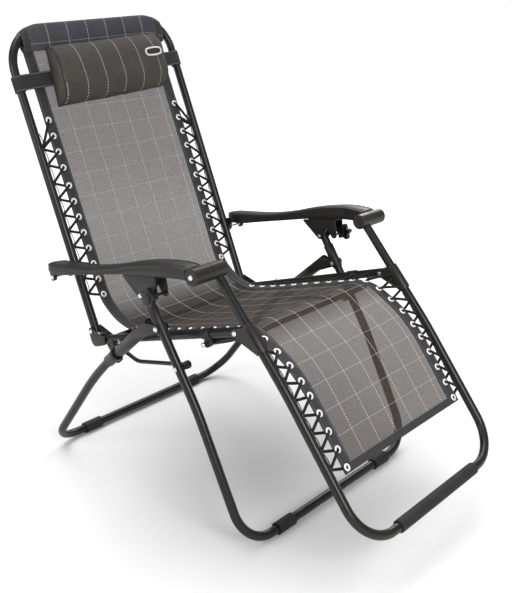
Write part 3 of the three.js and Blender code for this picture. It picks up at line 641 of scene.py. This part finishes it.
def armrests():
    # Half of the pad's top from its outer edge: (inwards, above the top line), with two grooves.
    ridge = [(0, -5.5), (0, -3.2), (0.7, -1.4), (2.2, -0.2), (4.4, 0), (5.4, -1.3), (6.6, -1.3), (7.6, 0.1),
             (9.6, 0.2), (10.6, -1.0), (11.6, -1.0), (12.8, 0.5), (17, 1.3), (21, 1.7), (25, 1.8)]
    for side, s in SIDES:
        pad, base = Build(), Build()
        rings, hulls = [], []
        for f in stations():
            middle, half = arm_plan(f, s, 1)
            down = LOWER[side] * (1 - 0.5 * ease((f + 100) / 200))
            low, high = curve_value(SEAM, f) - down, curve_value(TOP, f) - down
            k = half / (ARM_HALF + 1)
            drop = 3.0 * ease((f - 92) / 14)
            edge = [(half - a * k, high - drop + b * min(1, 0.3 + k * 0.7)) for a, b in ridge]
            ring = [(half, low)] + edge + [(-a, b) for a, b in edge[-2::-1]] + [(-half, low)]
            rings.append([at(middle + a, (f, b)) for a, b in ring])
            middle, half = arm_plan(f, s, 0)
            under = curve_value(UNDER, f)
            wall = 3.6 * min(1, half / 12)
            roof = max(min(low - 4.6, low - 0.3 - 0.25 * (low - under)), under + 1)
            ring = [(half - 0.6, low - 0.3), (half, low - 2), (half, under + 1.2), (half - 0.9, under),
                    (half - wall + 0.7, under), (half - wall, under + 1), (half - wall, roof)]
            ring += [(-a, b) for a, b in ring[::-1]]
            hulls.append([at(middle + a, (f, b)) for a, b in ring])
        pad.loft(rings)
        obj = pad.done(f"armrest_top_{side}", "pad", f"armrest_{side}")
        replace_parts(obj, f"armrest_pad_{side}")
        base.loft(hulls)
        base.lathe(barrel_profile(0.0534), at(s * 345, ARM_FRONT), (-s, 0, 0), 40)
        # Rear lug beside the back tube, with its web up into the armrest.
        lug = [along(ARM_REAR, a, 10) for a in range(150, 400, 20)] + [(-352, 549), (-385, 545), (-392, 538)]
        for x0, x1 in ((284, 294), (338, 345)):
            base.loft([[at(s * x, p) for p in lug] for x in (x0, x0 + 0.5, x1 - 0.5, x1)])
        shelf = [(-392, 538), (-385, 545), (-352, 549), (-352, 541), (-388, 534)]
        base.loft([[at(s * x, p) for p in shelf] for x in (284.5, 344.5)])
        obj = base.done(f"armrest_body_{side}", "armrest", f"armrest_{side}")
        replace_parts(obj, f"armrest_base_{side}")
        barrel = Build()
        barrel.lathe(barrel_profile(0.039), at(s * 252, ARM_FRONT), (s, 0, 0), 40)
        obj = barrel.done(f"barrel_{side}", "barrel", "leg_frame", "plastic")
        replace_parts(obj, f"arm_barrel_{side}")
    grip = Build()
    end = [(0.015, 0.156), (0.0148, 0.1585), (0.0128, 0.160), (0.0113, 0.160)]
    profile = [(r, -h) for r, h in end[::-1]] + end + [(0.0113, -0.160)]
    grip.lathe(profile, at(0, LEG_FRAME_FOOT), (1, 0, 0), 32)
    obj = grip.done("foot_grip", "foam", "leg_frame")
    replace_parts(obj, "foot_bar_cover")


# ---- Sling ---------------------------------------------------------------------------------
def sling_path():
    """Side-view line of the sling's edges from the top bar to the foot end, evenly spaced."""
    rough = [back_point(s) for s in range(740, 77, -17)]
    a, c, b = back_point(78), (-290, 388), (-215, 386)
    for i in range(1, 12):
        t = i / 12
        rough.append(tuple((1 - t) ** 2 * a[k] + 2 * t * (1 - t) * c[k] + t * t * b[k] for k in (0, 1)))
    rough += [(-215, 386), (-156, 400), (-104, 414.5), (-52, 430), (-5, 444.5), (42, 458), (84, 470),
              (124, 481), (158, 488), (192, 488), (222, 479), (251, 465), (284, 446.5), (318, 419.5),
              (345, 391.5), (372, 358), (399, 323), (424, 289), (449, 257), (458.6, 244.6)]
    for _ in range(2):
        cut = [tuple(p[k] * (1 - t) + q[k] * t for k in (0, 1))
               for p, q in zip(rough, rough[1:]) for t in (0.25, 0.75)]
        rough = [rough[0]] + cut + [rough[-1]]
    return resample(rough, 6.0)


def resample(points, step):
    total = [0.0]
    for p, q in zip(points, points[1:]):
        total.append(total[-1] + math.dist(p, q))
    count = round(total[-1] / step)
    out, i = [], 0
    for k in range(count + 1):
        d = total[-1] * k / count
        while i < len(total) - 2 and total[i + 1] < d:
            i += 1
        t = (d - total[i]) / max(total[i + 1] - total[i], 1e-9)
        out.append(tuple(points[i][j] + (points[i + 1][j] - points[i][j]) * t for j in (0, 1)))
    return out


FABRIC_HALF, EDGE_HALF, EYELET_X = 203, 231, 218.5
CORD_R, LINE_R = 0.0034, 0.0012
HOOK_AT, FIRST_HOOK_AT = 0.7, 1.45      # where a run turns, as a share of the way to the next eyelet


class Sling:
    def __init__(self):
        self.path = sling_path()
        self.length = [0.0]
        for p, q in zip(self.path, self.path[1:]):
            self.length.append(self.length[-1] + math.dist(p, q))
        n = len(self.path)
        self.normals = []
        for i in range(n):
            a, b = self.path[max(i - 1, 0)], self.path[min(i + 1, n - 1)]
            d = math.dist(a, b)
            self.normals.append((-(b[1] - a[1]) / d, (b[0] - a[0]) / d))
        self.joint_back = self.nearest((-296, 396))
        self.joint_leg = self.nearest((200, 476))
        self.mid = self.nearest((-40, 434))

    def nearest(self, p):
        return min(range(len(self.path)), key=lambda i: math.dist(self.path[i], p))

    def index_at(self, distance):
        return min(range(len(self.path)), key=lambda i: abs(self.length[i] - distance))

    def sag(self, i, x):
        """Slight hollow between the laced edges, deepest over the seat, raised over the two cross bars."""
        f, z = self.path[i]
        share = 1 - (x / EDGE_HALF) ** 2
        deep = 5 + 8 * ease((f + 330) / 120) * (1 - ease((f - 20) / 140))
        if z < 480 and f < 100:
            deep -= (deep - 3) * math.exp(-(((f + 239) / 45) ** 2))
        over = math.exp(-(((f - 180) / 42) ** 2)) if f > 60 else 0
        edge = min(max((EDGE_HALF - abs(x)) / (EDGE_HALF - 150), 0), 1)
        ripple = 1.0 * noise.noise(Vector((x / 60, self.length[i] / 160, 0.3))) * (1 - over)
        return deep * share * (1 - over) - 10.5 * over * math.sin(edge * math.pi / 2) ** 0.8 + ripple * share

    def point(self, i, x, lift=0.0):
        p, n = self.path[i], self.normals[i]
        d = lift - self.sag(i, x)
        return at(x, (p[0] + n[0] * d, p[1] + n[1] * d))

    def back_s(self, i):
        """Pattern coordinate along the sling, in metres, that equals the distance up the back frame."""
        return (740 - self.length[i]) / 1000


def slings():
    sling = Sling()
    last = len(sling.path) - 1
    zones = [("back", 0, sling.joint_back, "back_bolts", "back", (-296, 396), back_point(160)),
             ("rear", sling.joint_back, sling.mid, "seat", "back_bolts", (-215, 386), (-296, 396)),
             ("front", sling.mid, sling.joint_leg, "seat", "leg_frame_bolts", (110, 470), (200, 476)),
             ("foot", sling.joint_leg, last, "leg_frame_bolts", "leg_frame", (200, 476), (290, 443))]
    columns = 40
    nodes_of = {"back": ["sling_back"], "rear": ["sling_seat"], "front": [], "foot": ["sling_leg"]}
    for name, i0, i1, body_a, body_b, start, end in zones:
        verts, uvs, faces = [], [], []
        for i in range(i0, i1 + 1):
            for k in range(columns + 1):
                x = -FABRIC_HALF - 2 + (2 * FABRIC_HALF + 4) * k / columns
                verts.append(sling.point(i, x))
                uvs.append((x / 1000, sling.back_s(i)))
        for i in range(i1 - i0):
            for k in range(columns):
                a = i * (columns + 1) + k
                faces.append([a, a + 1, a + columns + 2, a + columns + 1])
        sheet = new_object(f"sling_{name}_sheet", verts, faces, "sling", None, uvs)
        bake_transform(sheet)
        if nodes_of[name]:
            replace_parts(sheet, *nodes_of[name])
        tape = Build()
        for s in (-1, 1):
            rings, tape_uvs = [], []
            width = (EDGE_HALF - FABRIC_HALF + 4) / 2
            centre = s * (EDGE_HALF - width)
            for i in range(i0, i1 + 1):
                section = [(-width, 0.9), (-width + 1, 1.5), (width - 1, 1.5), (width, 0.9), (width, -0.9),
                           (width - 1, -1.5), (-width + 1, -1.5), (-width, -0.9)]
                rings.append([sling.point(i, centre + a, b) for a, b in section])
                tape_uvs += [(a / 1000, sling.back_s(i)) for a, b in section]
            tape.loft(rings, uvs=tape_uvs)
        if name == "foot":
            rings, hem_uvs = [], []
            for k in range(columns + 1):
                x = -EDGE_HALF + 2 * EDGE_HALF * k / columns
                corners = ((last, 1.9), (last - 3, 1.9), (last - 3, -1.6), (last, -1.6))
                rings.append([sling.point(i, x, b) for i, b in corners])
                hem_uvs += [(a / 1000, x / 1000) for a in (9, -9, -9, 9)]
            tape.loft(rings, uvs=hem_uvs)
        tape = tape.done(f"edge_tape_{name}", "webbing", None, "webbing")
        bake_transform(tape)
    lacing(sling, zones)


def eyelet_places(sling):
    """Path indices of the eyelets on one side: down the back, along the seat and down the leg part."""
    top = 740 - 548
    back = [top + (548 - 78) / 11 * k for k in range(12)]
    seat_start = sling.length[sling.nearest((-215, 385))]
    end = sling.length[-1] - 13
    count = round((end - seat_start) / 41.8)
    rest = [seat_start + (end - seat_start) * k / count for k in range(count + 1)]
    return [sling.index_at(d) for d in back], [sling.index_at(d) for d in rest]


def lacing(sling, zones):
    back, rest = eyelet_places(sling)
    rings = {z[0]: Build() for z in zones}
    cords = {z[0]: Build() for z in zones}
    ring_profile = [(0.0038, 0), (0.0040, 0.0011), (0.0053, 0.0019), (0.0073, 0.0017), (0.0085, 0.0008),
                    (0.0087, 0), (0.0087, -0.0003), (0.0038, -0.0003), (0.0038, 0)]

    def zone_of(i):
        return next(z for z in zones if z[1] <= i <= z[2])

    def axis_at(i):
        n = sling.normals[i]
        return Vector((0, -n[0], n[1]))

    for s in (-1, 1):
        for i in back + rest:
            zone = zone_of(i)
            for face in (1, -1):
                where = sling.point(i, s * EYELET_X, 1.5 * face)
                rings[zone[0]].lathe(ring_profile, where, axis_at(i) * face, 20)
        for group in (back, rest):
            for i, j in zip(group, group[1:]):
                zone = zone_of((i + j) // 2)
                first = group is back and i == back[0]
                cords[zone[0]].sweep(lace(sling, i, j, s, FIRST_HOOK_AT if first else HOOK_AT), CORD_R, 10)
            # A thin line from hook to hook holds the turns to the tube.
            for i, j, k in zip(group, group[1:], group[2:]):
                a, b = hook(sling, i, j, s, HOOK_AT), hook(sling, j, k, s, HOOK_AT)
                out, bow = Vector((s * 0.002, 0, 0)), Vector((-s * 0.0035, 0, 0))
                line = rounded([a + out, a.lerp(b, 0.3) + bow, a.lerp(b, 0.7) + bow, b + out], 2)
                cords[zone_of(j)[0]].sweep(line, LINE_R, 6)
    for z in zones:
        for build, kind, look, slot in ((rings, "eyelets", "eyelet", "bolt"),
                                        (cords, "lacing", "lace", "webbing")):
            if build[z[0]].verts:
                obj = build[z[0]].done(f"{kind}_{z[0]}", look, None, slot)
                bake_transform(obj)


def tube_near(p):
    """The nearest point on the middle line of the frame tube beside a point of the sling's edge."""
    lines = [(BACK_PIVOT, BACK_ANGLE), (LEG_FRAME_PIVOT, SEAT_ANGLE), (LEG_FRAME_KNEE, LEG_FRAME_ANGLE),
             (LEG_FRAME_KNEE, heading(LEG_FRAME_KNEE, LEG_FRAME_FOOT))]
    if p[0] < -225 or p[1] > 490:
        line = lines[0]
    elif p[0] < 186:
        line = lines[1]
    else:
        line = lines[2] if p[0] < 318 else lines[3]
    (q, degrees) = line
    d = (math.cos(math.radians(degrees)), math.sin(math.radians(degrees)))
    t = (p[0] - q[0]) * d[0] + (p[1] - q[1]) * d[1]
    return (q[0] + d[0] * t, q[1] + d[1] * t)


def lace(sling, i, j, s, share):
    """One run of the cord: out of eyelet i, round its hook on the tube's inner side and up through j."""
    start, end = sling.point(i, s * EYELET_X, 0), sling.point(j, s * EYELET_X, 0)
    n = Vector((0, -sling.normals[(i + j) // 2][0], sling.normals[(i + j) // 2][1]))
    out = Vector((s, 0, 0))
    top, low = hook(sling, i, j, s, share - 0.06), hook(sling, i, j, s, share + 0.06)
    points = [start - n * 0.0045, start + n * 0.0044 + out * 0.001, start.lerp(top, 0.45) + n * 0.0045,
              top + n * 0.003 - out * 0.0015, top.lerp(low, 0.5) + out * 0.0008,
              low - n * 0.003 - out * 0.0015,
              end.lerp(low, 0.5) - n * 0.0052, end - n * 0.0062 + out * 0.001, end + n * 0.0012]
    return rounded(points, 2)


def hook(sling, i, j, s, share):
    """Where the cord turns, against the inner side of the frame tube."""
    p = sling.path[round(i + (j - i) * share)]
    return at(s * (INNER - TUBE - 3.6), tube_near(p))


def rounded(points, times):
    for _ in range(times):
        cut = [p.lerp(q, t) for p, q in zip(points, points[1:]) for t in (0.25, 0.75)]
        points = [points[0]] + cut + [points[-1]]
    return points


def top_sleeve():
    """The sling's end turned over the top bar and sewn to itself."""
    sleeve, first, last, columns = Build(), -229, 246, 60
    rings, uvs = [], []
    for k in range(columns + 1):
        x = first + (last - first) * k / columns
        centre, stretch = top_bar(x)
        low = 735 + TOP_LEAN * x - 12 * ease((abs(x) - 200) / 36)
        outer = [(low, 4.0), (low + 6, 5.2), (centre - 22, 10.8)]
        outer += half_round(centre, TUBE + 1.7, stretch)
        outer += [(centre - 22, -9.2), (low + 6, -2.6), (low, -1.6)]
        wave = [0.7 * noise.noise(Vector((x / 30, a / 14, 1.7))) for a, b in outer]
        outer = [(a, b + (w if b > 0 else -w)) for (a, b), w in zip(outer, wave)]
        inner = [(low + 1, -0.4), (low + 7, -1.2), (centre - 21, -8.0)]
        inner += half_round(centre, TUBE + 0.5, stretch)[::-1]
        inner += [(centre - 21, 9.4), (low + 7, 3.9), (low + 1, 2.7)]
        ring = outer + inner
        rings.append([at(x, back_point(a, b)) for a, b in ring])
        path, total = [], 0.0
        for m, p in enumerate(ring):
            total += math.dist(p, ring[m - 1]) if m else 0
            path.append(total)
        uvs += [(x / 1000, (735 + d) / 1000) for d in path]
    sleeve.loft(rings, uvs=uvs)
    obj = sleeve.done("top_sleeve_fabric", "sleeve", "back", "sling")
    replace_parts(obj, "sling_top_sleeve")
    hem = Build()
    for ends in (rings[:4], rings[:-5:-1]):
        rows = []
        for row in (ring[:19] for ring in ends):
            centre = sum(row, Vector()) / len(row)
            rows.append([p + (p - centre).normalized() * 0.0009 for p in row])
        count = len(rows[0])
        faces = [[a * count + b, a * count + b + 1, (a + 1) * count + b + 1, (a + 1) * count + b]
                 for a in range(3) for b in range(count - 1)]
        hem_uvs = [((a - 1.5) * 0.008, b * 0.006) for a in range(4) for b in range(count)]
        hem.add([p for row in rows for p in row], faces, hem_uvs)
    hem.done("sleeve_hems", "webbing", "back", "webbing")


def half_round(centre, r, stretch):
    """The sleeve's turn over the top bar, from its front to its back."""
    turn = [math.radians(a) for a in range(0, 181, 15)]
    return [(centre + r * stretch * math.sin(a), r * math.cos(a)) for a in turn]


# ---- Pillow --------------------------------------------------------------------------------
PILLOW_HALF, PILLOW_MIDDLE, PILLOW_TALL = 181, 662, 85
PILLOW_TILT, PILLOW_LEAN = math.radians(3.3), 0.09


def pillow_outline(spread=1.0, count=40):
    """The bolster's end outline, (distance up the back, distance in front of it)."""
    pts = []
    for k in range(count):
        a = 2 * math.pi * k / count
        up, out = math.cos(a), math.sin(a)
        tall = PILLOW_TALL * spread * (abs(up) ** 0.72) * (1 if up > 0 else -1)
        if out >= 0:
            deep = 10 + (58 + 10 * -up) * spread * (out ** 0.82)
        else:
            deep = 10 - 3.5 * (abs(out) ** 0.5)
        pts.append((PILLOW_MIDDLE + tall, deep))
    return pts


def pillow_point(x, a, b):
    """A point of the pillow, which hangs a little crooked: x across, a up the back, b in front of it."""
    return at(x + PILLOW_LEAN * (a - PILLOW_MIDDLE), back_point(a + x * math.tan(PILLOW_TILT), b))


def pillow():
    body = Build()
    spots = [-1, -0.99, -0.94, -0.75, -0.5, -0.25, 0, 0.25, 0.5, 0.75, 0.94, 0.99, 1]
    rings = []
    for spot in spots:
        x = PILLOW_HALF * spot
        spread = 0.97 - 0.03 * abs(spot) ** 3
        rings.append([pillow_point(x, a, b) for a, b in pillow_outline(spread)])
    body.loft(rings)
    obj = body.done("headrest_pillow", "cushion", None, "cushion")
    inflate(obj, 0.004, 0.0055)
    lay_uv(obj)
    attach(obj, "headrest")
    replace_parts(obj, "pillow")
    tree = BVHTree.FromObject(obj, bpy.context.evaluated_depsgraph_get())
    piping = Build()
    for s in (-1, 1):
        loop = []
        x = s * (PILLOW_HALF - 2)
        for a, b in pillow_outline(0.95, 64):
            p = pillow_point(x, a, b)
            hit = tree.find_nearest(p)[0]
            loop.append(hit)
        for _ in range(2):
            loop = [(loop[i - 1] + loop[i] * 2 + loop[(i + 1) % len(loop)]) / 4 for i in range(len(loop))]
        piping.sweep(loop, 0.0019, 8, closed=True)
    piping.done("pillow_piping", "strap", "headrest", "cushion")
    patch(tree)
    straps()


def patch(tree):
    """A plain sewn patch without lettering near the pillow's left end, laid on the cover."""
    middle_x, middle_a, half_x, half_a, steps = 135, 676, 31, 13, 16
    ahead = (at(0, back_point(700, 100)) - at(0, back_point(700))).normalized()
    for grow, lift, name, look in ((1.0, 0.0011, "pillow_patch_rim", "badge_rim"),
                                   (0.84, 0.0017, "pillow_patch", "badge")):
        verts = []
        for i in range(steps + 1):
            for k in range(steps + 1):
                u, v = 2 * i / steps - 1, 2 * k / steps - 1
                x = middle_x + half_x * grow * u * math.sqrt(1 - 0.35 * v * v)
                a = middle_a + (half_a - half_x * (1 - grow)) * v * math.sqrt(1 - 0.35 * u * u)
                hit, normal, _, _ = tree.ray_cast(pillow_point(x, a, 160), -ahead)
                verts.append(hit + normal * lift)
        row = steps + 1
        faces = [[i * row + k, (i + 1) * row + k, (i + 1) * row + k + 1, i * row + k + 1]
                 for i in range(steps) for k in range(steps)]
        b = Build()
        b.add(verts, faces, [(v.x, v.z) for v in verts])
        b.done(name, look, "headrest", "cushion")


def inflate(obj, voxel, cap):
    """Cloth simulation with inner pressure; no point moves further than cap."""
    scene = bpy.context.scene
    bpy.context.view_layer.objects.active = obj
    obj.select_set(True)
    remesh = obj.modifiers.new("remesh", "REMESH")
    remesh.mode, remesh.voxel_size = "VOXEL", voxel
    bpy.ops.object.modifier_apply(modifier="remesh")
    before = [v.co.copy() for v in obj.data.vertices]
    cloth = obj.modifiers.new("cloth", "CLOTH")
    cloth.settings.quality = 6
    cloth.settings.use_pressure = True
    cloth.settings.uniform_pressure_force = 4.0
    cloth.settings.effector_weights.gravity = 0.0
    cloth.settings.tension_stiffness = cloth.settings.compression_stiffness = 20
    for step in range(1, 21):
        scene.frame_set(step)
    shaped = obj.evaluated_get(bpy.context.evaluated_depsgraph_get()).to_mesh()
    after = [v.co.copy() for v in shaped.vertices]
    obj.modifiers.remove(cloth)
    scene.frame_set(1)
    for v, a, b in zip(obj.data.vertices, before, after):
        move = b - a
        v.co = a + (move if move.length < cap else move.normalized() * cap)
    smooth = obj.modifiers.new("smooth", "SMOOTH")
    smooth.iterations = 4
    bpy.ops.object.modifier_apply(modifier="smooth")
    sub = obj.modifiers.new("sub", "SUBSURF")
    sub.levels = sub.render_levels = 1
    bpy.ops.object.modifier_apply(modifier="sub")
    obj.select_set(False)
    for poly in obj.data.polygons:
        poly.use_smooth = True


def lay_uv(obj):
    """UV in metres: across the chair, and round the bolster."""
    mesh = obj.data
    layer = mesh.uv_layers.get("UVMap") or mesh.uv_layers.new(name="UVMap")
    origin = at(0, back_point(PILLOW_MIDDLE, 25))
    up = (at(0, back_point(800)) - at(0, back_point(700))).normalized()
    for loop in mesh.loops:
        d = mesh.vertices[loop.vertex_index].co - origin
        layer.data[loop.index].uv = (d.x, d.dot(up))
    for poly in mesh.polygons:
        if abs(poly.normal.x) > 0.62:
            for i in poly.loop_indices:     # the end panels lie between two stripes
                d = mesh.vertices[mesh.loops[i].vertex_index].co - origin
                layer.data[i].uv = (0.0145 + STRIPE / 2 + d.y * 0.2, d.dot(up))


def straps():
    """Elastic bands sewn to the pillow's ends and looped round the back tubes."""
    for side, s in SIDES:
        band, rows, uvs = Build(), [], []
        middle, half = PILLOW_MIDDLE, 20
        profile = [(PILLOW_HALF - 6, 13), (PILLOW_HALF + 14, 13.2), (INNER - 24, 13.6), (INNER - 8, 14.2)]
        turn = [math.radians(a) for a in range(15, 346, 22)]
        profile += [(INNER + 14.2 * math.sin(a), 14.2 * math.cos(a)) for a in turn]
        profile += [(INNER - 10, 11.6), (INNER - 26, 11.2), (PILLOW_HALF + 14, 11.4), (PILLOW_HALF - 6, 11.4)]
        total = 0.0
        for k, (x, n) in enumerate(profile):
            total += math.dist(profile[k], profile[k - 1]) if k else 0
            before, after = profile[max(k - 1, 0)], profile[min(k + 1, len(profile) - 1)]
            dx, dn = after[0] - before[0], after[1] - before[1]
            size = math.hypot(dx, dn)
            ox, on = -dn / size * 0.6, dx / size * 0.6
            section = [(x + ox, n + on, -half), (x + ox, n + on, half),
                       (x - ox, n - on, half), (x - ox, n - on, -half)]
            rise = s * math.tan(PILLOW_TILT)
            rows.append([at(s * a, back_point(middle + c + a * rise, b)) for a, b, c in section])
            uvs += [(c / 1000 * 0.66, total / 1000) for a, b, c in section]
        band.loft(rows, uvs=uvs)
        obj = band.done(f"pillow_band_{side}", "strap", "headrest", "webbing")
        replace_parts(obj, f"pillow_strap_{side}")


# ---- Assembly ------------------------------------------------------------------------------
camera()
make_looks()
studio()
tubes()
hardware()
hanger_bolts()
armrests()
slings()
top_sleeve()
pillow()
for name, obj in frame["nodes"].items():
    if not obj.hide_render:
        obj.data.materials.clear()
        obj.data.materials.append(LOOK[SLOTS[name]])
